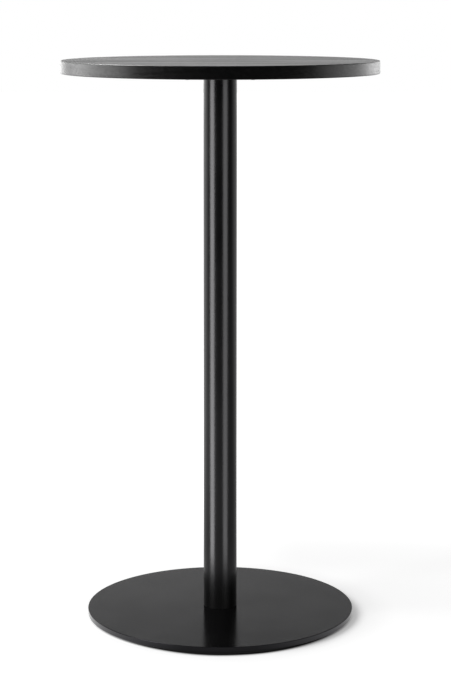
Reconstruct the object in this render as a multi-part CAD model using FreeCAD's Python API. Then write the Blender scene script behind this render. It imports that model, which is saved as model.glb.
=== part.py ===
import FreeCAD, Part
import math
import os

# Pub table: a round veneered top on one steel column, on a round steel base plate that stands on four glides.
# Millimetres, +Z up, origin on the floor below the middle of the column.

# Whole table
table_height = 1065.0
top_diameter = 600.0
top_thickness = 24.0
column_diameter = 63.5
column_wall = 2.5
base_diameter = 510.0
base_thickness = 10.0
base_arris = 1.0

# Top: a board core between two veneers, edged with a bent strip of solid wood
face_veneer_thickness = 0.6
back_veneer_thickness = 0.6
lipping_thickness = 3.0
lipping_arris = 1.5
lipping_glue_line = 0.1
lipping_seam_angle = 90.0

# Threaded inserts in the underside of the top
insert_count = 6
insert_first_angle = 0.0
insert_diameter = 10.0
insert_hole_roof = 8.0
insert_hole_end_gap = 3.0

# Mounting plate welded across the column's upper end
mounting_plate_diameter = 300.0
mounting_plate_thickness = 4.0
mounting_plate_arris = 0.8
mounting_hole_inset = 30.0
mounting_hole_clearance = 0.5
column_weld_leg = 4.0
column_weld_hollow = 0.6

# Button-head screws and washers that hold the plate to the inserts
mounting_screw_diameter = 6.0
mounting_head_diameter = 10.5
mounting_head_height = 3.3
mounting_head_brim = 0.8
mounting_head_flat_diameter = 6.2
mounting_socket_flats = 4.0
mounting_socket_depth = 2.0
mounting_washer_diameter = 12.5
mounting_washer_thickness = 1.2
mounting_washer_clearance = 0.2

# Plug welded inside the column's lower end, and the countersunk screws that pull it down to the base
plug_height = 20.0
plug_clearance = 0.1
plug_bevel = 1.5
base_screw_count = 4
base_screw_first_angle = 0.0
base_screw_diameter = 8.0
base_screw_head_diameter = 16.0
base_screw_bite = 15.0
base_screw_edge = 7.0
base_screw_hole_clearance = 0.5
base_screw_socket_flats = 5.0
base_screw_socket_depth = 3.0

# Glides: a threaded screw with a hexagon flange, riveted into a pad that stays still while the screw turns
glide_count = 4
glide_first_angle = 45.0
glide_inset = 35.0
glide_stud_diameter = 8.0
glide_stud_tip_bevel = 0.8
glide_hole_roof = 2.0
glide_hole_end_gap = 0.5
glide_flange_flats = 13.0
glide_flange_thickness = 1.5
glide_neck_diameter = 7.0
glide_rivet_diameter = 11.0
glide_rivet_thickness = 0.6
glide_rivet_recess = 1.2
glide_rivet_side_gap = 0.4
glide_pad_diameter = 32.0
glide_pad_thickness = 2.5
glide_pad_arris = 0.6

# Fits and cuts
running_clearance = 0.08
thread_clearance = 0.05
cut_overrun = 1.0

# Heights, worked out from the floor up and from the table's height down
base_low = glide_pad_thickness + glide_flange_thickness
base_high = base_low + base_thickness
top_high = table_height
top_low = top_high - top_thickness
core_low = top_low + back_veneer_thickness
core_high = top_high - face_veneer_thickness
insert_hole_high = top_high - insert_hole_roof
insert_high = insert_hole_high - insert_hole_end_gap
plate_low = top_low - mounting_plate_thickness
washer_low = plate_low - mounting_washer_thickness
plug_high = base_high + plug_height
glide_hole_high = base_high - glide_hole_roof
glide_stud_high = glide_hole_high - glide_hole_end_gap

# Radii shared by the pieces that fit together
top_radius = top_diameter / 2
lipping_bore_radius = top_radius - lipping_thickness
core_radius = lipping_bore_radius - lipping_glue_line
column_radius = column_diameter / 2
column_bore_radius = column_radius - column_wall
plug_radius = column_bore_radius - plug_clearance
insert_radius = insert_diameter / 2
mounting_screw_radius = mounting_screw_diameter / 2
mounting_head_radius = mounting_head_diameter / 2
base_screw_radius = base_screw_diameter / 2
base_screw_head_radius = base_screw_head_diameter / 2
glide_stud_radius = glide_stud_diameter / 2
glide_neck_radius = glide_neck_diameter / 2
glide_rivet_radius = glide_rivet_diameter / 2

# Circles that the fasteners and the glides stand on
mounting_circle_radius = mounting_plate_diameter / 2 - mounting_hole_inset
base_screw_circle_radius = plug_radius - base_screw_edge - base_screw_radius
glide_circle_radius = base_diameter / 2 - glide_inset

# Directions and angles
centre = FreeCAD.Vector(0, 0, 0)
up = FreeCAD.Vector(0, 0, 1)
full_turn = 360.0
hexagon_sides = 6
arc_middle_share = math.sin(math.pi / 4)


def places_on_circle(radius, count, first_angle):
    """Points evenly spaced on a circle about the column's axis."""
    places = []
    for number in range(count):
        angle = math.radians(first_angle + number * full_turn / count)
        places.append(FreeCAD.Vector(radius * math.cos(angle), radius * math.sin(angle), 0))
    return places


def disc(radius, low, high, place=centre):
    """An upright cylinder between two heights."""
    return Part.makeCylinder(radius, high - low, place + up * low)


def cone(low_radius, high_radius, low, high, place=centre):
    """An upright taper between two heights."""
    return Part.makeCone(low_radius, high_radius, high - low, place + up * low)


def hole(radius, low, high, place=centre):
    """A cutter for a hole that runs out through both faces."""
    return disc(radius, low - cut_overrun, high + cut_overrun, place)


def blind_hole(radius, low, high, place=centre):
    """A cutter for a hole that opens downwards and stops at its upper end."""
    return disc(radius, low - cut_overrun, high, place)


def hexagon(flats, low, high, place=centre):
    """An upright hexagonal prism, sized across its flats."""
    corner_radius = flats / math.sqrt(3)
    corners = places_on_circle(corner_radius, hexagon_sides, 0)
    outline = [place + corner + up * low for corner in corners + corners[:1]]
    return Part.Face(Part.makePolygon(outline)).extrude(up * (high - low))


def line(start, end):
    """A straight profile edge between two (radius, height) points."""
    return Part.makeLine(FreeCAD.Vector(start[0], 0, start[1]), FreeCAD.Vector(end[0], 0, end[1]))


def arc(start, middle, end):
    """A round profile edge through three (radius, height) points."""
    points = [FreeCAD.Vector(radius, 0, height) for radius, height in (start, middle, end)]
    return Part.Arc(*points).toShape()


def turned(edges, place=centre, sweep=full_turn):
    """A solid turned about the vertical axis from a closed profile."""
    solid = Part.Face(Part.Wire(edges)).revolve(centre, up, sweep)
    solid.translate(place)
    return solid


def rounded_plate(inner_radius, outer_radius, low, high, arris, place=centre, sweep=full_turn):
    """A turned plate or ring whose two outer rims are rounded by the arris."""
    corner_cut = arris * (1 - arc_middle_share)
    low_flat = (outer_radius - arris, low)
    low_middle = (outer_radius - corner_cut, low + corner_cut)
    low_side = (outer_radius, low + arris)
    high_side = (outer_radius, high - arris)
    high_middle = (outer_radius - corner_cut, high - corner_cut)
    high_flat = (outer_radius - arris, high)
    edges = [
        line((inner_radius, low), low_flat),
        arc(low_flat, low_middle, low_side),
        line(low_side, high_side),
        arc(high_side, high_middle, high_flat),
        line(high_flat, (inner_radius, high)),
        line((inner_radius, high), (inner_radius, low)),
    ]
    return turned(edges, place, sweep)


def save(node, shape):
    """Write one named piece, or one group of like pieces."""
    shape.exportStep(os.path.join("parts", node + ".step"))
    print(node, "solids", len(shape.Solids), "volume", round(shape.Volume, 1))


def lipping_strip():
    """The strip bent round the top, with its two ends butted together at the back."""
    sweep = full_turn - math.degrees(lipping_glue_line / top_radius)
    strip = rounded_plate(lipping_bore_radius, top_radius, top_low, top_high, lipping_arris, centre, sweep)
    strip.rotate(centre, up, lipping_seam_angle)
    return strip


def make_top(insert_places):
    """The board core, its two veneers and the lipping bent round them."""
    insert_holes = [blind_hole(insert_radius, top_low, insert_hole_high, place) for place in insert_places]
    save("top_core", disc(core_radius, core_low, core_high).cut(insert_holes))
    save("top_face_veneer", disc(core_radius, core_high, top_high))
    save("top_back_veneer", disc(core_radius, top_low, core_low).cut(insert_holes))
    save("top_edge_lipping", lipping_strip())


def make_insert_nuts(insert_places):
    """Threaded bushes set flush in the underside of the top."""
    bore_radius = mounting_screw_radius + thread_clearance
    nuts = []
    for place in insert_places:
        bush = disc(insert_radius, top_low, insert_high, place)
        nuts.append(bush.cut(hole(bore_radius, top_low, insert_high, place)))
    save("insert_nuts", Part.makeCompound(nuts))


def column_weld():
    """The slightly hollow fillet weld between the column and the underside of the mounting plate."""
    toe = (column_radius + column_weld_leg, plate_low)
    root = (column_radius, plate_low)
    heel = (column_radius, plate_low - column_weld_leg)
    half_leg = column_weld_leg / 2
    sink = column_weld_hollow * arc_middle_share
    face_middle = (column_radius + half_leg - sink, plate_low - half_leg + sink)
    return turned([line(root, toe), arc(toe, face_middle, heel), line(heel, root)])


def make_mounting_plate(insert_places):
    """The round plate that carries the top, with its weld to the column and its screw holes."""
    plate = rounded_plate(0, mounting_plate_diameter / 2, plate_low, top_low, mounting_plate_arris)
    hole_radius = mounting_screw_radius + mounting_hole_clearance
    holes = [hole(hole_radius, plate_low, top_low, place) for place in insert_places]
    save("mounting_plate", plate.fuse(column_weld()).removeSplitter().cut(holes))


def button_head_screw(place):
    """One screw with a domed head below and its thread pointing up into the insert."""
    flat_radius = mounting_head_flat_diameter / 2
    brim_low = washer_low - mounting_head_brim
    head_low = washer_low - mounting_head_height
    dome_drop = brim_low - head_low
    dome_reach = mounting_head_radius - flat_radius
    dome_middle = (flat_radius + dome_reach * arc_middle_share, brim_low - dome_drop * arc_middle_share)
    head = turned([
        line((0, washer_low), (mounting_head_radius, washer_low)),
        line((mounting_head_radius, washer_low), (mounting_head_radius, brim_low)),
        arc((mounting_head_radius, brim_low), dome_middle, (flat_radius, head_low)),
        line((flat_radius, head_low), (0, head_low)),
        line((0, head_low), (0, washer_low)),
    ], place)
    shank = disc(mounting_screw_radius, washer_low, insert_high, place)
    socket_high = head_low + mounting_socket_depth
    socket = hexagon(mounting_socket_flats, head_low - cut_overrun, socket_high, place)
    return head.fuse(shank).cut(socket)


def make_mounting_screws(insert_places):
    """The screws and washers that hold the plate to the inserts."""
    screws = [button_head_screw(place) for place in insert_places]
    bore_radius = mounting_screw_radius + mounting_washer_clearance
    washers = []
    for place in insert_places:
        washer = disc(mounting_washer_diameter / 2, washer_low, plate_low, place)
        washers.append(washer.cut(hole(bore_radius, washer_low, plate_low, place)))
    save("mounting_screws", Part.makeCompound(screws))
    save("mounting_washers", Part.makeCompound(washers))


def make_column(base_screw_places):
    """The tube, and the plug welded flush inside its lower end."""
    tube = disc(column_radius, base_high, plate_low).cut(hole(column_bore_radius, base_high, plate_low))
    shoulder = plug_high - plug_bevel
    plug = disc(plug_radius, base_high, shoulder)
    plug = plug.fuse(cone(plug_radius, plug_radius - plug_bevel, shoulder, plug_high))
    thread_radius = base_screw_radius + thread_clearance
    threads = [hole(thread_radius, base_high, plug_high, place) for place in base_screw_places]
    save("column_tube", tube)
    save("column_foot_plug", plug.removeSplitter().cut(threads))


def countersunk_screw(place):
    """One screw with its head flush in the underside of the base, pointing up into the plug."""
    cone_high = base_low + base_screw_head_radius - base_screw_radius
    head = cone(base_screw_head_radius, base_screw_radius, base_low, cone_high, place)
    shank = disc(base_screw_radius, cone_high, base_high + base_screw_bite, place)
    socket_high = base_low + base_screw_socket_depth
    socket = hexagon(base_screw_socket_flats, base_low - cut_overrun, socket_high, place)
    return head.fuse(shank).cut(socket)


def make_base(base_screw_places, glide_places):
    """The round base plate, with countersunk holes for the column and blind threads for the glides."""
    plate = rounded_plate(0, base_diameter / 2, base_low, base_high, base_arris)
    hole_radius = base_screw_radius + base_screw_hole_clearance
    mouth_high = base_low + base_screw_head_radius - hole_radius
    thread_radius = glide_stud_radius + running_clearance
    cuts = []
    for place in base_screw_places:
        cuts.append(hole(hole_radius, base_low, base_high, place))
        cuts.append(cone(base_screw_head_radius, hole_radius, base_low, mouth_high, place))
    for place in glide_places:
        cuts.append(blind_hole(thread_radius, base_low, glide_hole_high, place))
    save("base_plate", plate.cut(cuts))
    save("base_screws", Part.makeCompound([countersunk_screw(place) for place in base_screw_places]))


def glide_screw(place):
    """A short stud with a hexagon flange, and a neck riveted over inside the pad."""
    bevel_low = glide_stud_high - glide_stud_tip_bevel
    tip_radius = glide_stud_radius - glide_stud_tip_bevel
    rivet_low = glide_rivet_recess - glide_rivet_thickness
    screw = hexagon(glide_flange_flats, glide_pad_thickness, base_low, place)
    screw = screw.fuse(disc(glide_stud_radius, base_low, bevel_low, place))
    screw = screw.fuse(cone(glide_stud_radius, tip_radius, bevel_low, glide_stud_high, place))
    screw = screw.fuse(disc(glide_neck_radius, glide_rivet_recess, glide_pad_thickness, place))
    return screw.fuse(disc(glide_rivet_radius, rivet_low, glide_rivet_recess, place))


def glide_pad(place):
    """The round sole, bored for the neck and recessed below for the rivet."""
    recess_radius = glide_rivet_radius + glide_rivet_side_gap
    pad = rounded_plate(0, glide_pad_diameter / 2, 0, glide_pad_thickness, glide_pad_arris, place)
    pad = pad.cut(hole(glide_neck_radius + running_clearance, 0, glide_pad_thickness, place))
    return pad.cut(blind_hole(recess_radius, 0, glide_rivet_recess, place))


def make_glides(glide_places):
    """Four levelling glides, numbered anticlockwise from the back right."""
    for number, place in enumerate(glide_places, start=1):
        save(f"glide_screw_{number}", glide_screw(place))
        save(f"glide_pad_{number}", glide_pad(place))


def make_table():
    """Build every piece of the table in its place."""
    os.makedirs("parts", exist_ok=True)
    insert_places = places_on_circle(mounting_circle_radius, insert_count, insert_first_angle)
    base_screw_places = places_on_circle(base_screw_circle_radius, base_screw_count, base_screw_first_angle)
    glide_places = places_on_circle(glide_circle_radius, glide_count, glide_first_angle)
    make_top(insert_places)
    make_insert_nuts(insert_places)
    make_mounting_plate(insert_places)
    make_mounting_screws(insert_places)
    make_column(base_screw_places)
    make_base(base_screw_places, glide_places)
    make_glides(glide_places)


make_table()
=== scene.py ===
# %% [markdown]
# # A pub table in black-stained oak and powder-coated steel
#
# The real table is a thin round top, one steel column and a heavy round base plate. Everything else is
# hidden: a mounting plate under the top, a plug in the column's foot, and four levelling glides.
# The CAD model already has all these shapes, so this script mostly gives them their finishes. It only
# models again the few pieces whose real form is finer than the solids: the column and its weld, the top's
# lipping, the base plate and the threaded glide screws.

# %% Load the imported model
import math
import bpy
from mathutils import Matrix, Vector


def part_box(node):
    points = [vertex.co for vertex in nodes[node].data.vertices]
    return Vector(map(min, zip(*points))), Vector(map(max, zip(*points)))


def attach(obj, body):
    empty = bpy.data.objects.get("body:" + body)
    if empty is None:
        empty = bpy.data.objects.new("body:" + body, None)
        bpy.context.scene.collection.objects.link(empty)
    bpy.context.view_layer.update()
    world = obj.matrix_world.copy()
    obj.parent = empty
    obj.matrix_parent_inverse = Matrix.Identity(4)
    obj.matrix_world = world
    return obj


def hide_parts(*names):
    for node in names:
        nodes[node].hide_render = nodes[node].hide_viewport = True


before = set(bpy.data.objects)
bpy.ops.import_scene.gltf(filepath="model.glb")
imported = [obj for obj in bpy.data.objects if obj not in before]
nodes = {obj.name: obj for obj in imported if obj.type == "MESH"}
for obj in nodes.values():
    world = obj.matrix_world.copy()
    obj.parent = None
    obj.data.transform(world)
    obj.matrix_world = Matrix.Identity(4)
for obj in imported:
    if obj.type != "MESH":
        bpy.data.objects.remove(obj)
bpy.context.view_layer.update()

# %% [markdown]
# ## Small helpers for node trees
#
# Every finish on this table is a tree of shader nodes. Nodes could be placed by hand in the shader
# editor. Written out, a few short helpers keep the trees readable: each adds one kind of node, feeds it with
# numbers or sockets, and gives back the socket that comes out of it.

# %% Node helpers
def add(tree, kind, settings=None, **values):
    """One node, with its settings and the values of its unlinked inputs."""
    made = tree.nodes.new(kind)
    for name, value in (settings or {}).items():
        setattr(made, name, value)
    for name, value in values.items():
        made.inputs[name.replace("_", " ")].default_value = value
    return made


def feed(tree, value, socket):
    """Set a number on a socket, or link another socket to it."""
    if isinstance(value, (int, float)):
        socket.default_value = value
    else:
        tree.links.new(value, socket)


def math_of(tree, operation, *values):
    """A Math node."""
    made = add(tree, "ShaderNodeMath", {"operation": operation})
    for value, socket in zip(values, made.inputs):
        feed(tree, value, socket)
    return made.outputs[0]


def total(tree, first, *others):
    """The sum of two or more values."""
    for other in others:
        first = math_of(tree, "ADD", first, other)
    return first


def product(tree, first, *others):
    """The product of two or more values."""
    for other in others:
        first = math_of(tree, "MULTIPLY", first, other)
    return first


def between(tree, value, span, ends=(0.0, 1.0)):
    """A clamped, smooth Map Range that turns a span of numbers into two ends."""
    made = add(tree, "ShaderNodeMapRange", {"interpolation_type": "SMOOTHSTEP"})
    tree.links.new(value, made.inputs["Value"])
    for name, number in zip(("From Min", "From Max", "To Min", "To Max"), (*span, *ends)):
        made.inputs[name].default_value = number
    return made.outputs["Result"]


print("number helpers are ready")

# %% Vector helpers
def split(tree, vector):
    """The X, Y and Z of a vector."""
    made = add(tree, "ShaderNodeSeparateXYZ")
    tree.links.new(vector, made.inputs[0])
    return [made.outputs[axis] for axis in "XYZ"]


def joined(tree, x, y, z=0.0):
    """A vector made of three values."""
    made = add(tree, "ShaderNodeCombineXYZ")
    for value, socket in zip((x, y, z), made.inputs):
        feed(tree, value, socket)
    return made.outputs[0]


def length_of(tree, vector):
    """The length of a vector."""
    made = add(tree, "ShaderNodeVectorMath", {"operation": "LENGTH"})
    tree.links.new(vector, made.inputs[0])
    return made.outputs["Value"]


def stretched(tree, vector, scale):
    """A vector scaled along each axis by an amount of its own."""
    made = add(tree, "ShaderNodeMapping", Scale=scale)
    tree.links.new(vector, made.inputs["Vector"])
    return made.outputs[0]


def noise(tree, vector, scale=1.0, detail=2.0, roughness=0.5):
    """A noise texture on a vector."""
    made = add(tree, "ShaderNodeTexNoise", Detail=detail, Roughness=roughness)
    feed(tree, scale, made.inputs["Scale"])
    tree.links.new(vector, made.inputs["Vector"])
    return made.outputs["Fac"]


print("vector helpers are ready")

# %% [markdown]
# ## Groups and finishes
#
# An effect that several finishes share is built once, as a node group. All groups here take the place of a
# point and some numbers. The nodes could be copied into each material instead, but then a change would have
# to be made many times over.

# %% Helpers for groups and finishes
def new_group(name, inputs, outputs):
    """A shader node group, with the sockets that come in and the sockets that it has to feed."""
    tree = bpy.data.node_groups.new(name, "ShaderNodeTree")
    tree.interface.new_socket(name="Vector", in_out="INPUT", socket_type="NodeSocketVector")
    for socket, default in inputs.items():
        made = tree.interface.new_socket(name=socket, in_out="INPUT", socket_type="NodeSocketFloat")
        made.default_value = default
    for socket in outputs:
        kind = "NodeSocketVector" if socket == "Vector" else "NodeSocketFloat"
        tree.interface.new_socket(name=socket, in_out="OUTPUT", socket_type=kind)
    return tree, tree.nodes.new("NodeGroupInput").outputs, tree.nodes.new("NodeGroupOutput").inputs


def place_group(tree, group, vector, **values):
    """What comes out of a group that is fed with a vector and its own values."""
    made = add(tree, "ShaderNodeGroup", {"node_tree": group}, **values)
    tree.links.new(vector, made.inputs["Vector"])
    return made.outputs


def new_finish(name):
    """A material with its tree, its Principled shader and the piece's Object coordinates."""
    material = bpy.data.materials.new(name)
    material.use_nodes = True
    tree = material.node_tree
    shader = tree.nodes["Principled BSDF"]
    coordinates = tree.nodes.new("ShaderNodeTexCoord").outputs["Object"]
    return material, tree, shader, coordinates


print("helpers for groups and finishes are ready")

# %% [markdown]
# ## Coordinates that follow the edge
#
# The lipping is a strip of oak bent round the top, so its grain runs round the table and not straight
# across. A UV map could carry that, but it would have to be unwrapped first. Instead this group turns the
# place of each point into a length along the strip, a height and a distance from the axis. The two ends of
# that length meet at the back, where the real strip is butted too.

# %% Group: wrapped round the axis
lipping_low, lipping_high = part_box("top_edge_lipping")
top_radius = lipping_high.y
wrapped, given, wanted = new_group("wrapped_round_axis", {"Radius": top_radius}, ["Vector"])
x, y, z = split(wrapped, given["Vector"])
turn = math_of(wrapped, "ARCTAN2", x, product(wrapped, y, -1.0))
along = product(wrapped, turn, given["Radius"])
from_axis = length_of(wrapped, joined(wrapped, x, y))
wrapped.links.new(joined(wrapped, along, z, from_axis), wanted["Vector"])
print("group", wrapped.name, "gives length, height and distance from the axis")

# %% [markdown]
# ## Oak grain
#
# Oak has three marks that survive a black stain: broad bands of growth rings, slow clouds along the grain,
# and open pores, which are thin dashes some millimetres long that stay unfilled under a thin lacquer. They
# could be painted. Here each is a noise texture stretched along the grain, which runs along X, and the group
# puts out all three and a height for the bump.

# %% Group: oak grain
wander_scale, wander_width = (1.6, 7.0, 7.0), 0.075
ring_scale_along, ring_scale_deep = 2.5, 40.0
band_edges, band_relief = (0.33, 0.67), 0.25
pore_scale, pore_edges = (130.0, 2300.0, 2300.0), (-0.02, 0.05)
pore_level, pore_level_in_bands = 0.66, -0.10
cloud_scale, cloud_edges = (3.0, 26.0, 26.0), (0.3, 0.7)
veneer_ring_width, lipping_ring_width = 0.006, 0.0022
oak, given, wanted = new_group("oak_grain", {"Ring Width": veneer_ring_width},
                               ["Bands", "Pores", "Clouds", "Height"])
x, y, z = split(oak, given["Vector"])
wander = noise(oak, stretched(oak, given["Vector"], wander_scale), roughness=0.45)
side = math_of(oak, "DIVIDE", total(oak, y, product(oak, wander, wander_width)), given["Ring Width"])
ring_place = joined(oak, product(oak, x, ring_scale_along), side, product(oak, z, ring_scale_deep))
bands = between(oak, noise(oak, ring_place, detail=3.0, roughness=0.6), band_edges)
dashes = noise(oak, stretched(oak, given["Vector"], pore_scale), detail=1.0, roughness=0.4)
open_level = math_of(oak, "MULTIPLY_ADD", bands, pore_level_in_bands, pore_level)
pores = between(oak, math_of(oak, "SUBTRACT", dashes, open_level), pore_edges)
patches = noise(oak, stretched(oak, given["Vector"], cloud_scale))
relief = math_of(oak, "SUBTRACT", product(oak, bands, band_relief), pores)
oak.links.new(bands, wanted["Bands"])
oak.links.new(pores, wanted["Pores"])
oak.links.new(between(oak, patches, cloud_edges), wanted["Clouds"])
oak.links.new(relief, wanted["Height"])
print("group", oak.name, "gives bands, pores, clouds and a height")

# %% [markdown]
# ## The skin of powder coat
#
# Powder is sprayed on dry and melts in an oven. It sets with a faint orange peel, waves about a
# millimetre or two across, and a finer grit that makes it satin. Real waves could be a displacement, but
# they are only microns high, so a bump is enough. The group also puts out a slow change of sheen.

# %% Group: powder skin
column_wave_count, base_wave_count, nylon_wave_count = 620.0, 520.0, 1500.0
grit_count, grit_height = 3600.0, 0.35
sheen_count = 9.0
powder, given, wanted = new_group("powder_skin", {"Wave Count": column_wave_count}, ["Height", "Sheen"])
waves = noise(powder, given["Vector"], given["Wave Count"], detail=1.0, roughness=0.4)
grit = noise(powder, given["Vector"], grit_count, detail=0.0)
clouds = noise(powder, given["Vector"], sheen_count, detail=3.0, roughness=0.55)
powder.links.new(math_of(powder, "MULTIPLY_ADD", grit, grit_height, waves), wanted["Height"])
powder.links.new(between(powder, clouds, cloud_edges), wanted["Sheen"])
print("group", powder.name, "gives a height and a sheen")

# %% [markdown]
# ## Rubbed edges
#
# Edges are where hands, shoes and cloths polish a finish first. Edge wear is often read from the mesh's
# pointiness, but that changes with every change of the mesh. All edges here are circles about one axis, so
# the group measures how near a point is to a circle of a given radius and height, and breaks the ring up
# with noise.

# %% Group: rubbed ring
base_low, base_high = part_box("base_plate")
base_radius = base_high.x
rim_reach = 0.0022
near_edges = (0.0, 0.8)
break_count, break_edges = 55.0, (0.35, 0.75)
rubbed, given, wanted = new_group("rubbed_ring", {"Radius": base_radius, "Height": base_high.z,
                                                  "Reach": rim_reach}, ["Mask"])
x, y, z = split(rubbed, given["Vector"])
aside = math_of(rubbed, "SUBTRACT", length_of(rubbed, joined(rubbed, x, y)), given["Radius"])
above = math_of(rubbed, "SUBTRACT", z, given["Height"])
gap = math_of(rubbed, "DIVIDE", length_of(rubbed, joined(rubbed, aside, above)), given["Reach"])
near = between(rubbed, math_of(rubbed, "SUBTRACT", 1.0, gap), near_edges)
broken = between(rubbed, noise(rubbed, given["Vector"], break_count, detail=4.0, roughness=0.65), break_edges)
rubbed.links.new(product(rubbed, near, broken), wanted["Mask"])
print("group", rubbed.name, "gives a mask")

# %% [markdown]
# ## The nearest of a ring of fasteners
#
# Like screws share one CAD piece and stand on a circle, so a mark that goes round each screw needs to
# know which screw it is on. Separate materials could do that. This group finds it by rounding: it rounds
# the direction of a point to the nearest of a count of steps, and gives the place as seen from there.

# %% Group: nearest of a ring
nearest, given, wanted = new_group("nearest_of_ring", {"Count": 1.0, "First Turn": 0.0, "Circle Radius": 0.0},
                                   ["Vector"])
x, y, z = split(nearest, given["Vector"])
step = math_of(nearest, "DIVIDE", 2 * math.pi, given["Count"])
turn = math_of(nearest, "SUBTRACT", math_of(nearest, "ARCTAN2", y, x), given["First Turn"])
whole = math_of(nearest, "ROUND", math_of(nearest, "DIVIDE", turn, step))
aim = total(nearest, product(nearest, whole, step), given["First Turn"])
local = []
for value, function in ((x, "COSINE"), (y, "SINE")):
    middle = product(nearest, math_of(nearest, function, aim), given["Circle Radius"])
    local.append(math_of(nearest, "SUBTRACT", value, middle))
nearest.links.new(joined(nearest, *local, z), wanted["Vector"])
print("group", nearest.name, "gives the place as seen from the nearest fastener")

# %% [markdown]
# ## Lathe marks
#
# Screws, washers and the foot plug are turned, and the tool leaves fine rings about their axis. An
# anisotropic shader could hint at them, but real rings also hold up close. The group takes coordinates that
# are already centred on the piece, and makes rings from the radius.

# %% Group: lathe marks
fine_pitch, medium_pitch, coarse_pitch = 0.0002, 0.00025, 0.0003
stain_count, stain_edges = 320.0, (0.35, 0.65)
lathe, given, wanted = new_group("lathe_marks", {"Pitch": fine_pitch}, ["Height", "Tint"])
x, y, z = split(lathe, given["Vector"])
rings_out = math_of(lathe, "DIVIDE", length_of(lathe, joined(lathe, x, y)), given["Pitch"])
rings_up = math_of(lathe, "DIVIDE", z, given["Pitch"])
stain = noise(lathe, given["Vector"], stain_count, detail=3.0)
lathe.links.new(noise(lathe, joined(lathe, rings_out, rings_up)), wanted["Height"])
lathe.links.new(between(lathe, stain, stain_edges), wanted["Tint"])
print("group", lathe.name, "gives a height and a tint")

# %% [markdown]
# ## Feeding a shader
#
# The same three sockets are fed in every finish on this table: a colour mixed from two by a mask, a roughness
# that moves between two values, and a bump. Constants stay on the shader's own sockets.

# %% Feeding helpers
def feed_colour(tree, shader, mask, colour, under=None):
    """A colour laid by a mask over another one, or over what already feeds Base Color."""
    mix = add(tree, "ShaderNodeMix", {"data_type": "RGBA"})
    if under:
        mix.inputs["A"].default_value = (*under, 1.0)
    else:
        tree.links.new(shader.inputs["Base Color"].links[0].from_socket, mix.inputs["A"])
    mix.inputs["B"].default_value = (*colour, 1.0)
    tree.links.new(mask, mix.inputs["Factor"])
    tree.links.new(mix.outputs["Result"], shader.inputs["Base Color"])


def feed_roughness(tree, shader, mask, smooth, rough):
    """Roughness that goes from smooth to rough with a mask."""
    tree.links.new(between(tree, mask, (0.0, 1.0), (smooth, rough)), shader.inputs["Roughness"])


def feed_bump(tree, shader, height, depth):
    """A bump of a real depth in metres."""
    bump = add(tree, "ShaderNodeBump", Strength=1.0, Distance=depth)
    tree.links.new(height, bump.inputs["Height"])
    tree.links.new(bump.outputs["Normal"], shader.inputs["Normal"])


print("feeding helpers are ready")

# %% [markdown]
# ## Black-stained oak, matt lacquered
#
# The stain goes deep, so the wood is almost black, and only the lacquer's matt sheen and the open pores
# show that it is oak. The veneer's grain runs from side to side. The lipping uses the same grain through
# the wrapped coordinates, with tighter rings because the strip is sawn along the stem.

# %% Oak finishes
oak_dark, oak_light, pore_black = (0.0016, 0.0015, 0.0015), (0.0034, 0.0032, 0.0031), (0.0008, 0.0008, 0.0008)
sheen_shares = {"Bands": 0.25, "Clouds": 0.45, "Pores": 0.3}
grain_depth = 0.00006


def oak_finish(name, smooth, rough, wrap_radius=None, ring_width=veneer_ring_width):
    """Stained oak with its grain running straight, or wrapped round the table's axis."""
    material, tree, shader, place = new_finish(name)
    if wrap_radius:
        place = place_group(tree, wrapped, place, Radius=wrap_radius)["Vector"]
    grain = place_group(tree, oak, place, Ring_Width=ring_width)
    feed_colour(tree, shader, grain["Bands"], oak_light, under=oak_dark)
    feed_colour(tree, shader, grain["Pores"], pore_black)
    sheen = total(tree, *[product(tree, grain[mark], share) for mark, share in sheen_shares.items()])
    feed_roughness(tree, shader, sheen, smooth, rough)
    feed_bump(tree, shader, grain["Height"], grain_depth)
    return material


stained_oak = oak_finish("stained_oak", smooth=0.35, rough=0.48)
stained_oak_edge = oak_finish("stained_oak_edge", smooth=0.32, rough=0.42, wrap_radius=top_radius,
                              ring_width=lipping_ring_width)
stained_oak_back = oak_finish("stained_oak_back", smooth=0.6, rough=0.72)
print("made", stained_oak.name, "and", stained_oak_edge.name, "and", stained_oak_back.name)

# %% [markdown]
# ## Powder-coated steel
#
# Column, mounting plate and base plate share one black powder. The base lies flat and mirrors the column
# softly, so it is a little smoother. Its rim is rubbed brighter by shoes and sweeping. The powder's shine is
# a little cool. The column's stripes of light hardly show in the base in the photo, so where the column is
# seen by way of another shiny piece, it is given a duller skin.

# %% Powder finishes
powder_dark, powder_light = (0.0013, 0.0013, 0.0014), (0.0021, 0.0021, 0.0022)
rubbed_grey = (0.007, 0.007, 0.0072)
column_cast, base_cast = (0.985, 0.975, 1.0), (0.945, 0.93, 1.0)
peel_depth = 0.00001


def powder_finish(name, smooth, rough, cast, wave_count=column_wave_count, rubbed_rim=False,
                  dull_in_mirrors=False):
    """Black powder coat, which may be rubbed along the base's rim or dull where another piece mirrors it."""
    material, tree, shader, place = new_finish(name)
    shader.inputs["Specular Tint"].default_value = (*cast, 1.0)
    skin = place_group(tree, powder, place, Wave_Count=wave_count)
    feed_colour(tree, shader, skin["Sheen"], powder_light, under=powder_dark)
    feed_roughness(tree, shader, skin["Sheen"], smooth, rough)
    if dull_in_mirrors:
        own = shader.inputs["Roughness"].links[0].from_socket
        seen_in_mirror = tree.nodes.new("ShaderNodeLightPath").outputs["Is Glossy Ray"]
        tree.links.new(math_of(tree, "MAXIMUM", own, seen_in_mirror), shader.inputs["Roughness"])
    if rubbed_rim:
        ring = place_group(tree, rubbed, place, Radius=base_radius, Height=base_high.z, Reach=rim_reach)
        feed_colour(tree, shader, ring["Mask"], rubbed_grey)
    feed_bump(tree, shader, skin["Height"], peel_depth)
    return material


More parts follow.
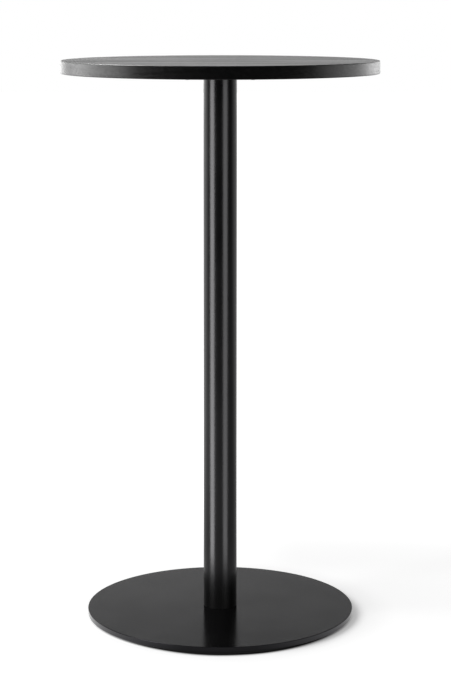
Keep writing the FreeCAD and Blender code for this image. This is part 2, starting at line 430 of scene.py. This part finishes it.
powder_coat = powder_finish("powder_coat", smooth=0.23, rough=0.26, cast=column_cast, dull_in_mirrors=True)
powder_coat_base = powder_finish("powder_coat_base", smooth=0.15, rough=0.18, cast=base_cast,
                                 wave_count=base_wave_count, rubbed_rim=True)
powder_coat_plate = powder_finish("powder_coat_plate", smooth=0.5, rough=0.6, cast=column_cast)
print("made", powder_coat.name, "and", powder_coat_base.name, "and", powder_coat_plate.name)

# %% [markdown]
# ## Small metals
#
# Zinc plate is bluish with a yellow tinge in places, black oxide is a dark oily grey, brass is warm, and
# the foot plug is bare steel. All are turned metal and share the lathe marks. A ring gives the count, the
# circle and the first direction of the fasteners that share a finish. The plug stands on the axis itself.
# Screws that share a piece share its box too, so their circle is the box less the radius of a head.

# %% Rings of fasteners
def ring_of(circle_radius, count, first_turn=0.0):
    """A ring of fasteners, as the group that finds the nearest one takes it."""
    return {"Count": count, "Circle_Radius": circle_radius, "First_Turn": math.radians(first_turn)}


base_head_radius, mounting_head_radius = 0.008, 0.00525
base_screw_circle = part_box("base_screws")[1].x - base_head_radius
mounting_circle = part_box("mounting_screws")[1].x - mounting_head_radius
glide_numbers = (1, 2, 3, 4)
glide_boxes = [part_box(f"glide_screw_{number}") for number in glide_numbers]
glide_places = [((low.x + high.x) / 2, (low.y + high.y) / 2) for low, high in glide_boxes]
glide_circle = math.hypot(*glide_places[0])
on_axis = ring_of(0.0, count=1)
mounting_ring = ring_of(mounting_circle, count=6)
base_screw_ring = ring_of(base_screw_circle, count=4)
glide_ring = ring_of(glide_circle, count=len(glide_numbers), first_turn=45.0)
print("circles of", [round(circle, 5) for circle in (mounting_circle, base_screw_circle, glide_circle)], "m")

# %% Metal finishes
lathe_depth = 0.000012


def metal_finish(name, colours, pitch, ring, smooth, rough):
    """Turned metal on a ring of fasteners, stained between two colours."""
    first, second = colours
    material, tree, shader, place = new_finish(name)
    seen = place_group(tree, nearest, place, **ring)
    marks = place_group(tree, lathe, seen["Vector"], Pitch=pitch)
    feed_colour(tree, shader, marks["Tint"], second, under=first)
    feed_roughness(tree, shader, marks["Tint"], smooth, rough)
    feed_bump(tree, shader, marks["Height"], lathe_depth)
    shader.inputs["Metallic"].default_value = 1.0
    return material


steel_greys = (0.42, 0.41, 0.40), (0.52, 0.51, 0.49)
zinc_tints = (0.56, 0.58, 0.62), (0.66, 0.62, 0.52)
oxide_greys = (0.026, 0.026, 0.029), (0.045, 0.044, 0.045)
brass_golds = (0.60, 0.42, 0.17), (0.70, 0.52, 0.24)
bare_steel = metal_finish("bare_steel", steel_greys, coarse_pitch, on_axis, smooth=0.26, rough=0.38)
zinc = metal_finish("zinc", zinc_tints, medium_pitch, base_screw_ring, smooth=0.24, rough=0.36)
zinc_glide = metal_finish("zinc_glide", zinc_tints, medium_pitch, glide_ring, smooth=0.24, rough=0.36)
black_oxide = metal_finish("black_oxide", oxide_greys, fine_pitch, mounting_ring, smooth=0.30, rough=0.42)
brass = metal_finish("brass", brass_golds, medium_pitch, mounting_ring, smooth=0.22, rough=0.34)
print("made", ", ".join(made.name for made in (bare_steel, zinc, zinc_glide, black_oxide, brass)))

# %% [markdown]
# ## Board and nylon
#
# The core is fibreboard, pale brown with darker fibres, and only shows if the top is taken apart. The
# glide pads are moulded nylon, dark grey with the fine matt texture of the mould. Pictures of both could be
# laid on, but noise needs no files and never repeats.

# %% Board and nylon finishes
fibre_count, fibre_depth = 900.0, 0.00012
fibre_brown, fibre_pale = (0.20, 0.125, 0.066), (0.36, 0.25, 0.145)
board, tree, shader, place = new_finish("board")
fibres = noise(tree, place, fibre_count, detail=5.0, roughness=0.7)
feed_colour(tree, shader, fibres, fibre_pale, under=fibre_brown)
feed_roughness(tree, shader, fibres, smooth=0.75, rough=0.92)
feed_bump(tree, shader, fibres, fibre_depth)

nylon_dark, nylon_light = (0.012, 0.012, 0.013), (0.019, 0.019, 0.02)
mould_depth = 0.00003
nylon, tree, shader, place = new_finish("nylon")
mould = place_group(tree, powder, place, Wave_Count=nylon_wave_count)
feed_colour(tree, shader, mould["Sheen"], nylon_light, under=nylon_dark)
feed_roughness(tree, shader, mould["Sheen"], smooth=0.46, rough=0.58)
feed_bump(tree, shader, mould["Height"], mould_depth)
print("made", board.name, "and", nylon.name)

# %% [markdown]
# ## Dressing the CAD pieces
#
# Each CAD piece keeps its shape and gets its finish through its material slots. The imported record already
# names the slot of every piece, so the finish is found by that name. Two pieces under the top are finished
# more cheaply than the rest, because nobody looks at them: the back veneer is only sealed, and the mounting
# plate's powder is dull.

# %% Dress the CAD pieces
finishes = {"stained_oak": stained_oak, "stained_oak_edge": stained_oak_edge, "board": board, "nylon": nylon,
            "powder_coat": powder_coat, "powder_coat_base": powder_coat_base, "bare_steel": bare_steel,
            "black_oxide": black_oxide, "zinc": zinc, "brass": brass}
for piece in nodes.values():
    for slot in piece.material_slots:
        slot.material = finishes[slot.material.name.split(".")[0]]
nodes["top_back_veneer"].material_slots[0].material = stained_oak_back
nodes["mounting_plate"].material_slots[0].material = powder_coat_plate
print("dressed", len(nodes), "pieces with", len(finishes), "finishes")

# %% [markdown]
# ## Helpers for new pieces
#
# Operators act on whatever is selected, so each step first says what it works on. These helpers select one
# piece alone, make a cylinder, bevel its rims, cut it off level, apply a modifier, join or cut two solids by
# a Boolean, and give a finished piece its finish and its body.

# %% Helpers for making a solid
same_place = 1e-6
origin, axis_up = (0.0, 0.0, 0.0), (0.0, 0.0, 1.0)


def select_only(piece):
    """Make one piece the only selected and the active one."""
    bpy.ops.object.select_all(action="DESELECT")
    piece.select_set(True)
    bpy.context.view_layer.objects.active = piece


def name_new(name):
    """Name the object that an operator has just made, with its place moved into its mesh."""
    piece = bpy.context.object
    select_only(piece)
    bpy.ops.object.transform_apply()
    piece.name = name
    return piece


def upright(name, vertices, radius, low, high, turned=0.0, caps="NGON", place=(0.0, 0.0)):
    """A cylinder or prism that stands at a place between two heights."""
    bpy.ops.mesh.primitive_cylinder_add(vertices=vertices, radius=radius, depth=high - low,
                                        end_fill_type=caps, location=(*place, (low + high) / 2),
                                        rotation=(0.0, 0.0, turned))
    return name_new(name)


def bevel_rims(piece, heights, offset, segments):
    """Bevel the round edges of a piece that lie at the given heights."""
    select_only(piece)
    bpy.ops.object.mode_set(mode="EDIT")
    bpy.ops.mesh.select_mode(type="EDGE")
    bpy.ops.mesh.select_all(action="DESELECT")
    bpy.ops.object.mode_set(mode="OBJECT")
    for edge in piece.data.edges:
        ends = [piece.data.vertices[number].co for number in edge.vertices]
        level = any(all(abs(end.z - height) < same_place for end in ends) for height in heights)
        edge.select = level and abs(ends[0].xy.length - ends[1].xy.length) < same_place
    bpy.ops.object.mode_set(mode="EDIT")
    bpy.ops.mesh.bevel(offset=offset, segments=segments)
    bpy.ops.object.mode_set(mode="OBJECT")


def cut_level(height, **side):
    """Cut the mesh that is being edited off at a height, close the cut and select all that is left."""
    bpy.ops.mesh.bisect(plane_co=(0.0, 0.0, height), plane_no=axis_up, use_fill=True, **side)
    bpy.ops.mesh.select_all(action="SELECT")


print("helpers for making a solid are ready")

# %% Helpers for finishing a piece
def apply_modifier(piece, kind, **settings):
    """Add one modifier with its settings and apply it."""
    select_only(piece)
    modifier = piece.modifiers.new("step", kind)
    for name, value in settings.items():
        setattr(modifier, name, value)
    bpy.ops.object.modifier_apply(modifier=modifier.name)


def combine(piece, other, operation):
    """Join two solids, cut one from the other or keep what they share, and remove the second."""
    apply_modifier(piece, "BOOLEAN", operation=operation, solver="EXACT", object=other)
    bpy.data.objects.remove(other, do_unlink=True)


def hand_over(piece, finish, body, sharp=30.0):
    """Shade a finished piece, give it its finish, and let it ride on its body."""
    select_only(piece)
    bpy.ops.object.shade_smooth_by_angle(angle=math.radians(sharp))
    piece.data.materials.clear()
    piece.data.materials.append(finish)
    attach(piece, body)
    print(piece.name, "has", len(piece.data.polygons), "faces and rides on", body)


def keep_faces_flat(piece):
    """Let large flat faces set the normals, so that a rounded rim doesn't bend the light on them."""
    apply_modifier(piece, "WEIGHTED_NORMAL", mode="FACE_AREA", weight=100, keep_sharp=True)


print("helpers for finishing a piece are ready")

# %% [markdown]
# ## Column
#
# The column is a length of round steel tube, sawn square and freed of burrs. The solid tube is right in
# size, but its round is coarse for an edge that is seen against white along its whole length. A profile
# could be spun for it. An open cylinder with many sides, given its wall by Solidify, is quicker, and a
# small bevel makes the eased ends. The foot then shows the fine dark line that a real tube has there. The
# bevels stay sharp-edged, so that they don't bend the shading of the long straight side between them.

# %% Column
column_low, column_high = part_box("column_tube")
column_radius, column_sides = column_high.x, 288
column_wall, column_ease = 0.0025, 0.0004
column = upright("column", column_sides, column_radius, column_low.z, column_high.z, caps="NOTHING")
apply_modifier(column, "SOLIDIFY", thickness=column_wall, offset=-1.0, use_even_offset=True)
bevel_rims(column, (column_low.z, column_high.z), column_ease, segments=2)
hand_over(column, powder_coat, "table", sharp=15.0)
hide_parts("column_tube")

# %% [markdown]
# ## Weld bead
#
# A ring of weld holds the column to its mounting plate. A hand-held torch leaves it in overlapping scales,
# one for each dip of the rod, and powder coat softens them without hiding them. The solid has a smooth
# fillet there, and the scales are laid over it. They could be sculpted. Here one scale is a flattened ball,
# tilted along the run and trimmed at the plate. Spin repeats it round the column, and a voxel remesh melts
# the ring into one skin.

# %% Weld bead
scale_count = 92
scale_circle, scale_drop = 0.0334, 0.0016
ball_radius, scale_stretch = 0.001, (2.9, 1.9, 1.35)
scale_tilt, scale_lean = math.radians(24.0), math.radians(45.0)
skin_voxel = 0.00032
bpy.ops.mesh.primitive_uv_sphere_add(segments=24, ring_count=14, radius=ball_radius)
bead = name_new("column_weld")
bpy.ops.object.mode_set(mode="EDIT")
bpy.ops.mesh.select_all(action="SELECT")
bpy.ops.transform.resize(value=scale_stretch)
bpy.ops.transform.rotate(value=scale_tilt, orient_axis="X", center_override=origin)
bpy.ops.transform.rotate(value=scale_lean, orient_axis="Y", center_override=origin)
bpy.ops.transform.translate(value=(scale_circle, 0.0, column_high.z - scale_drop))
cut_level(column_high.z, clear_outer=True)
bpy.ops.mesh.spin(steps=scale_count - 1, dupli=True, angle=2 * math.pi * (scale_count - 1) / scale_count,
                  center=origin, axis=axis_up)
bpy.ops.object.mode_set(mode="OBJECT")
apply_modifier(bead, "REMESH", mode="VOXEL", voxel_size=skin_voxel)
apply_modifier(bead, "SMOOTH", factor=0.5, iterations=3)
hand_over(bead, powder_coat, "table", sharp=60.0)

# %% [markdown]
# ## Lipping
#
# The lipping is a thin strip of oak, bent and glued round the edge of the top. Both its arrises are sanded
# round, and the upper one catches a fine line of light, which shows every flat of a coarse round. A profile
# could be swept for it. Here it is a disc with its rims rounded and the place of the board cut out, turned by
# half a side so that no corner of the round stands out past the CAD model. The strip's ends are butted at the
# back, where a thin block cuts the seam.

# %% Lipping
rim_sides = 256
half_side = math.pi / rim_sides
lipping_thickness, lipping_arris = 0.003, 0.0015
seam_width, seam_depth, seam_height = 0.0001, 0.012, 0.1
cut_overrun = 0.001
lipping = upright("lipping", rim_sides, top_radius, lipping_low.z, lipping_high.z, half_side)
bevel_rims(lipping, (lipping_low.z, lipping_high.z), lipping_arris, segments=8)
bore = upright("bore", rim_sides, top_radius - lipping_thickness, lipping_low.z - cut_overrun,
               lipping_high.z + cut_overrun, half_side)
combine(lipping, bore, "DIFFERENCE")
bpy.ops.mesh.primitive_cube_add(size=1.0, location=(seam_width / 2, top_radius, lipping_high.z),
                                scale=(seam_width, seam_depth, seam_height))
combine(lipping, name_new("seam"), "DIFFERENCE")
hand_over(lipping, stained_oak_edge, "table")
keep_faces_flat(lipping)
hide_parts("top_edge_lipping")

# %% [markdown]
# ## Base plate
#
# The base is a disc of thick steel plate with both rims rounded over. Its outline is seen against white all
# the way round, so it is turned again with a finer round, as the column is. It is drilled from below: four
# countersunk holes for the screws that hold the column, and four blind ones for the glides. The holes could
# be cut with the knife tool, but a Boolean for each keeps them where the fasteners are.

# %% Base plate
base_arris = 0.001
hole_sides = 64
base_hole_radius = 0.0045
glide_hole_radius, glide_hole_high = 0.00408, 0.012
circle = base_screw_circle
base = upright("base", rim_sides, base_radius, base_low.z, base_high.z)
bevel_rims(base, (base_low.z, base_high.z), base_arris, segments=6)
drill_low, drill_high = base_low.z - cut_overrun, base_high.z + cut_overrun
sink_depth = base_head_radius - base_hole_radius + cut_overrun
for place in ((circle, 0.0), (0.0, circle), (-circle, 0.0), (0.0, -circle)):
    drill = upright("drill", hole_sides, base_hole_radius, drill_low, drill_high, place=place)
    combine(base, drill, "DIFFERENCE")
    bpy.ops.mesh.primitive_cone_add(vertices=hole_sides, radius1=base_head_radius + cut_overrun,
                                    radius2=base_hole_radius, depth=sink_depth,
                                    location=(*place, drill_low + sink_depth / 2))
    combine(base, name_new("countersink"), "DIFFERENCE")
for place in glide_places:
    drill = upright("drill", hole_sides, glide_hole_radius, drill_low, glide_hole_high, place=place)
    combine(base, drill, "DIFFERENCE")
hand_over(base, powder_coat_base, "table")
keep_faces_flat(base)
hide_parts("base_plate")

# %% [markdown]
# ## Levelling screws
#
# A levelling glide is an M8 screw with a thin hexagon flange, riveted into its pad. The solid has a plain
# stud, because threads are left out there. Here the thread is real: a short zigzag, one pitch high, is
# wound up the axis by the Screw modifier, cut off flat at both ends and given a chamfered tip. It could be
# a bump, but the stud is seen from the side when the glide is let down, and a bump leaves its outline plain.

# %% Thread
thread_pitch, thread_turns, thread_sides = 0.00125, 9, 48
thread_crest, thread_root = 0.00398, 0.00325
stud_low, stud_high = 0.0038, 0.0115
thread_depth = thread_crest - thread_root
root_rise, crest_rise, flank_rise = thread_pitch / 4, thread_pitch / 8, thread_pitch * 5 / 16
zigzag = ((0.0, root_rise), (thread_depth, flank_rise), (0.0, crest_rise), (-thread_depth, flank_rise))
bpy.ops.mesh.primitive_plane_add(size=thread_depth)
bolt = name_new("levelling_screw_1")
bpy.ops.object.mode_set(mode="EDIT")
bpy.ops.mesh.select_mode(type="VERT")
bpy.ops.mesh.select_all(action="SELECT")
bpy.ops.mesh.merge(type="CENTER")
bpy.ops.transform.translate(value=(thread_root, 0.0, stud_low - thread_pitch))
for outward, upward in zigzag:
    bpy.ops.mesh.extrude_region_move(TRANSFORM_OT_translate={"value": (outward, 0.0, upward)})
bpy.ops.object.mode_set(mode="OBJECT")
apply_modifier(bolt, "SCREW", axis="Z", angle=2 * math.pi, screw_offset=thread_pitch, iterations=thread_turns,
               steps=thread_sides, render_steps=thread_sides, use_merge_vertices=True,
               merge_threshold=same_place)
bpy.ops.object.mode_set(mode="EDIT")
bpy.ops.mesh.select_all(action="SELECT")
bpy.ops.mesh.remove_doubles(threshold=same_place)
cut_level(stud_low, clear_inner=True)
cut_level(stud_high, clear_outer=True)
bpy.ops.mesh.normals_make_consistent(inside=False)
bpy.ops.object.mode_set(mode="OBJECT")
print("thread has", len(bolt.data.polygons), "faces")

# %% [markdown]
# The tip's chamfer and the hexagon's eased corners are made as on a lathe: what lies outside a turned blank
# is taken off. The blank for each is a cylinder with bevelled rims, and a Boolean keeps what both share.

# %% Flange, neck and rivet
turned_sides, flange_sides = 96, 6
flange_low, flange_high, flange_flats = 0.0025, 0.0040, 0.013
neck_low, neck_radius = 0.0012, 0.0035
rivet_low, rivet_radius = 0.0006, 0.0055
blank_radius, tip_chamfer, flange_chamfer, rivet_round = 0.0041, 0.0009, 0.00042, 0.0003
overlap = 0.0001
flange_corner = flange_flats / math.sqrt(3)
tip = upright("tip_blank", turned_sides, blank_radius, stud_low - overlap, stud_high)
bevel_rims(tip, (stud_high,), tip_chamfer, segments=1)
combine(bolt, tip, "INTERSECT")
flange = upright("flange", flange_sides, flange_corner, flange_low, flange_high, math.pi / flange_sides)
blank = upright("flange_blank", turned_sides, flange_corner, flange_low, flange_high)
bevel_rims(blank, (flange_low, flange_high), flange_chamfer, segments=1)
combine(flange, blank, "INTERSECT")
neck = upright("neck", turned_sides, neck_radius, neck_low - overlap, flange_low + overlap)
rivet = upright("rivet", turned_sides, rivet_radius, rivet_low, neck_low)
bevel_rims(rivet, (rivet_low,), rivet_round, segments=3)
for part in (flange, neck, rivet):
    combine(bolt, part, "UNION")
print("screw has", len(bolt.data.polygons), "faces")

# %% [markdown]
# One screw is finished, so the other three are copies with their own meshes. Each is moved to its corner of
# the base inside its mesh, because a finished piece's object stays at the origin.

# %% Four levelling screws
bolts = [bolt]
while len(bolts) < len(glide_numbers):
    select_only(bolt)
    bpy.ops.object.duplicate()
    bolts.append(bpy.context.object)
for number, place, piece in zip(glide_numbers, glide_places, bolts):
    select_only(piece)
    piece.name = f"levelling_screw_{number}"
    piece.location = (*place, 0.0)
    bpy.ops.object.transform_apply()
    hand_over(piece, zinc_glide, f"glide_{number}_screw")
    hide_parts(f"glide_screw_{number}")

# %% [markdown]
# ## Floor
#
# The table stands on white paper in a studio. A plane is enough for the floor. Its material is built in
# three steps: what the camera sees of it, what the table mirrors of it, and the matt paper itself. Each step
# goes by the place on the floor and by the distance from the rim of the base.

# %% Floor
floor_width = 40.0
bpy.ops.mesh.primitive_plane_add(size=floor_width, location=origin)
floor = bpy.context.object
floor.name = "studio_floor"
paper = bpy.data.materials.new("studio_paper")
paper.use_nodes = True
floor.data.materials.append(paper)
tree = paper.node_tree
tree.nodes.remove(tree.nodes["Principled BSDF"])
rays = tree.nodes.new("ShaderNodeLightPath").outputs
place = tree.nodes.new("ShaderNodeTexCoord").outputs["Object"]
across, back = split(tree, place)[:2]
away = math_of(tree, "SUBTRACT", length_of(tree, place), base_radius)
print("floor is", floor.dimensions.x, "m across")

# %% [markdown]
# ## Paper before the camera
#
# The paper in the photograph is so bright that it burns out to plain white, right up to the base. So it
# glows for the camera, by just what the lamps leave short of white. It does not glow under the base, which
# paints the shadow there. Close round the base, and in its lee to the right and behind, it glows a little
# less: a painted shadow, where the photograph keeps a faint grey shade. Farther off it glows more, and runs
# into the background without a line.
# Each pair of values is a span of the floor, or what the paper does at the two ends of a span.

# %% Paper before the camera
falling = (1.0, 0.0)
left_side, left_creep = (-0.2, 0.0), (0.012, 0.0)
right_side, right_creep = (0.05, 0.25), (0.0, 0.01)
rim_span, rim_glow = (0.0, 0.013), (0.01, 0.72)
contact_side, contact_span, contact_shade = (0.0, 0.2), (-0.005, 0.04), (0.45, 0.0)
lee_side, lee_front, lee_back = (-0.02, 0.18), (-0.25, 0.0), (0.35, 0.9)
lee_turn, lee_shades = (0.2, 0.35), (0.05, 0.09)
round_start, round_span, round_shade = (-0.005, 0.007), (0.007, 0.105), (0.08, 0.0)
far_span, far_glow, far_glow_in_lee = (0.045, 0.645), (0.0, 0.33), (1.0, 0.25)
horizon_span, horizon_glow = (0.645, 2.745), (0.0, 0.1)
# Painted shadow: the paper hardly glows under the base, and the contact, lee and round shades make it glow
# less close to the base and in its lee.
edge = total(tree, away, between(tree, across, left_side, left_creep),
             between(tree, across, right_side, right_creep))
contact = product(tree, between(tree, across, contact_side), between(tree, away, contact_span, contact_shade))
near = product(tree, between(tree, edge, rim_span, rim_glow), between(tree, contact, (0.0, 1.0), falling))
lee = product(tree, between(tree, across, lee_side), between(tree, back, lee_front),
              between(tree, back, lee_back, falling))
lee_shade = product(tree, lee, between(tree, back, lee_turn, lee_shades))
painted_round_shade = product(tree, between(tree, away, round_start), between(tree, edge, round_span, round_shade))
far = product(tree, between(tree, away, far_span, far_glow), between(tree, lee, (0.0, 1.0), far_glow_in_lee))
horizon = between(tree, away, horizon_span, horizon_glow)
seen_glow = math_of(tree, "SUBTRACT", total(tree, near, far, horizon), total(tree, lee_shade, painted_round_shade))
for_camera = product(tree, seen_glow, rays["Is Camera Ray"])
print("paper glows for the camera beside and behind the table")

# %% [markdown]
# ## Paper in the mirror of the table
#
# The glossy black column and rim mirror the paper, which glows for their rays alone: a painted reflection.
# They show it bright behind the table, more on the left, and bright in a skirt close to both sides of the
# base, which is what lightens the ends of its rim. In front of the table they show it dark.

# %% Paper in the mirror of the table
behind_span, behind_sides, behind_glow = (-0.2, 1.6), (-1.0, 1.0), (0.82, 0.42)
skirt_left, skirt_left_glow = (-0.25, -0.06), (1.0, 0.0)
skirt_right, skirt_right_glow = (0.06, 0.25), (0.0, 0.65)
skirt_span = (0.045, 0.105)
# Painted reflection: the paper glows for mirror rays alone, behind the table and in a skirt beside the base.
behind = product(tree, between(tree, back, behind_span), between(tree, across, behind_sides, behind_glow))
sides = total(tree, between(tree, across, skirt_left, skirt_left_glow),
              between(tree, across, skirt_right, skirt_right_glow))
skirt = product(tree, sides, between(tree, away, skirt_span, falling))
by_mirror = math_of(tree, "MAXIMUM", rays["Is Glossy Ray"], rays["Is Transmission Ray"])
for_mirror = product(tree, math_of(tree, "MAXIMUM", behind, skirt), by_mirror)
glow = add(tree, "ShaderNodeEmission")
tree.links.new(total(tree, for_camera, for_mirror), glow.inputs["Strength"])
print("paper shows bright in mirrors behind the table and beside its base")

# %% [markdown]
# ## Matt paper
#
# The paper itself is matt and catches the shadow of the table. It is near white, with a painted shadow that
# makes it dark under the base and a faint painted shade just beside it. Far in front of the table it is
# painted dark for every ray but the camera's, so the table mirrors it dark there, a painted dark reflection,
# but the camera never sees that part as anything but paper.

# %% Matt paper
under_span, painted_shadow_under = (-0.001, 0.007), (0.03, 0.8)
beside_span, painted_shade_beside = (0.005, 0.105), (0.92, 1.0)
ahead_span, painted_reflection_ahead = (-4.0, -0.3), (0.04, 1.0)
# Painted shadow: the paper's colour is dark under the base and a little grey just beside it.
under = product(tree, between(tree, edge, under_span, painted_shadow_under),
                between(tree, edge, beside_span, painted_shade_beside))
# Painted dark reflection: in front of the table the paper is dark for every ray but the camera's.
ahead = math_of(tree, "MAXIMUM", between(tree, back, ahead_span, painted_reflection_ahead), rays["Is Camera Ray"])
matt = add(tree, "ShaderNodeBsdfDiffuse")
tree.links.new(product(tree, under, ahead), matt.inputs["Color"])
both = tree.nodes.new("ShaderNodeAddShader")
tree.links.new(glow.outputs[0], both.inputs[0])
tree.links.new(matt.outputs[0], both.inputs[1])
tree.links.new(both.outputs[0], tree.nodes["Material Output"].inputs["Surface"])
print("paper has", len(tree.nodes), "shader nodes")

# %% [markdown]
# ## Room
#
# The camera sees the room plain white. What lights the table and mirrors in it is another matter: the black
# finish shows bright only where the room is bright. A picture of a studio could light it, but here each part
# of the room is set by itself. Behind the table it is bright low down, at the foot of the white backdrop, and
# grows dim above that, which gives the base its slow fade from back to front. The left is brighter than the
# right. Behind the camera the room is dark, which keeps the front of the column black, with a weak glow high
# up that shows in the rim of the base. Each span is of the X, Y or Z of a direction, which go from -1 to 1.

# %% Room
foot_span, foot_light = (0.0, 0.16), (1.9, 0.0)
middle_span, middle_light = (0.22, 0.31), (0.38, 0.0)
high_span, high_light = (0.45, 0.9), (0.19, 0.5)
right_span, right_light = (0.1, 0.95), (1.1, 0.5)
halves_span, halves_light = (-0.04, 0.04), (1.05, 0.86)
backdrop_span = (-0.2, 0.8)
front_span, front_rise, front_light = (-0.6, -0.1), (0.14, 0.32), (0.0, 0.28)
least_light = 0.018
world = bpy.data.worlds.new("studio_room")
bpy.context.scene.world = world
world.use_nodes = True
tree = world.node_tree
background = tree.nodes["Background"]
across, back, up = split(tree, tree.nodes.new("ShaderNodeTexCoord").outputs["Generated"])
backdrop = total(tree, between(tree, up, foot_span, foot_light), between(tree, up, middle_span, middle_light),
                 between(tree, up, high_span, high_light))
sideways = product(tree, between(tree, across, right_span, right_light),
                   between(tree, across, halves_span, halves_light))
behind = product(tree, between(tree, back, backdrop_span), sideways, backdrop)
ahead = product(tree, between(tree, back, front_span, falling), between(tree, up, front_rise, front_light))
rays = tree.nodes.new("ShaderNodeLightPath").outputs
seen = math_of(tree, "MAXIMUM", rays["Is Camera Ray"], rays["Is Transmission Ray"])
white = add(tree, "ShaderNodeMix", B=1.0)
tree.links.new(total(tree, behind, ahead, least_light), white.inputs["A"])
tree.links.new(seen, white.inputs["Factor"])
tree.links.new(white.outputs["Result"], background.inputs["Strength"])
background.inputs["Color"].default_value = (1.0, 1.0, 1.0, 1.0)
print("room is bright behind the table and dark behind the camera")

# %% [markdown]
# ## Soft boxes
#
# In the studio each soft box was aimed at one part of the table, and black flags kept its light off the
# rest. Light linking does the work of the flags: a lamp lights only the pieces in its own collection. The
# lamps are set by their radiance, so that a change of size doesn't change how bright they show in the finish.

# %% Helpers for soft boxes
def soft_box(name, spot, aim, width, height, radiance, lit):
    """An area lamp at a spot, turned towards an aim, that lights only the given pieces."""
    bpy.ops.object.light_add(type="AREA", location=spot)
    lamp = bpy.context.object
    lamp.name = name
    lamp.rotation_euler = (Vector(aim) - Vector(spot)).to_track_quat("-Z", "Y").to_euler()
    lamp.data.shape = "RECTANGLE"
    lamp.data.size = width
    lamp.data.size_y = height
    lamp.data.energy = radiance * math.pi * width * height
    lamp.visible_camera = False
    receivers = bpy.data.collections.new(name + "_receivers")
    for piece in lit:
        receivers.objects.link(piece)
    lamp.light_linking.receiver_collection = receivers
    print(name, "lights", len(lit), "pieces with", round(lamp.data.energy, 1), "W")


def box_beside(name, bearing, distance, level, **settings):
    """A soft box aimed level at the axis. Its bearing is in degrees to the left of the camera's side."""
    angle = math.radians(bearing)
    spot = (-math.sin(angle) * distance, -math.cos(angle) * distance, level)
    soft_box(name, spot, aim=(0.0, 0.0, level), **settings)


edge_pieces = [lipping]
top_pieces = [lipping, nodes["top_face_veneer"]]
column_pieces = [column, bead]
ground_pieces = [floor, base, nodes["base_screws"]] + bolts
ground_pieces += [nodes[f"glide_pad_{number}"] for number in glide_numbers]
print("the lamp on the floor lights", len(ground_pieces), "pieces")

# %% [markdown]
# Two slim strips beside the column draw the two stripes on it. Two panels and two end boxes lighten the sides
# of the top's edge, and a box above them on the left catches its upper arris. A wide box behind the table
# gives the top its sheen. A large box from the left lights the floor and throws the soft shadow to the right.

# %% Soft boxes
strip = {"distance": 0.33, "level": 0.524, "width": 0.165, "height": 1.022, "lit": column_pieces}
panel = {"distance": 1.02, "level": 1.05, "width": 1.1, "height": 0.5, "lit": edge_pieces}
end = {"distance": 1.4, "level": 1.05, "width": 0.6, "height": 0.5, "lit": edge_pieces}
box_beside("strip_left", bearing=54.0, radiance=6.0, **strip)
box_beside("strip_right", bearing=-34.0, radiance=2.55, **strip)
box_beside("panel_left", bearing=88.0, radiance=3.7, **panel)
box_beside("panel_right", bearing=-94.0, radiance=1.2, **panel)
box_beside("end_left", bearing=150.0, radiance=1.2, **end)
box_beside("end_right", bearing=-130.0, radiance=2.4, **end)
soft_box("back_box", spot=(0.0, 1.6, 1.55), aim=(0.0, 0.0, 1.06), width=3.0, height=0.9, radiance=0.42,
         lit=top_pieces)
soft_box("arris_box", spot=(-0.78, 0.24, 2.0), aim=(-0.19, -0.23, lipping_high.z), width=0.6, height=0.6,
         radiance=34.0, lit=edge_pieces)
soft_box("floor_box", spot=(-2.0, -0.7, 1.9), aim=(0.1, 0.0, 0.0), width=1.4, height=1.4, radiance=5.5,
         lit=ground_pieces)

# %% [markdown]
# ## Camera
#
# The photograph was taken from a little above the top with a long lens, nearly level, and the frame was
# slid down so that the column stays upright. A small shift and a small tip down come close to that here.

# %% Camera
camera_place = (0.0, -3.767, 1.1924)
camera_tip = 6.22
bpy.ops.object.camera_add(location=camera_place, rotation=(math.radians(90.0 - camera_tip), 0.0, 0.0))
camera = bpy.context.object
camera.data.lens = 102.9
camera.data.sensor_width = 36.0
camera.data.shift_x = 0.0076
camera.data.shift_y = -0.2
bpy.context.scene.camera = camera
bpy.context.scene.view_settings.view_transform = "Standard"
print("camera is", round(camera.location.length, 2), "m from the foot of the table")
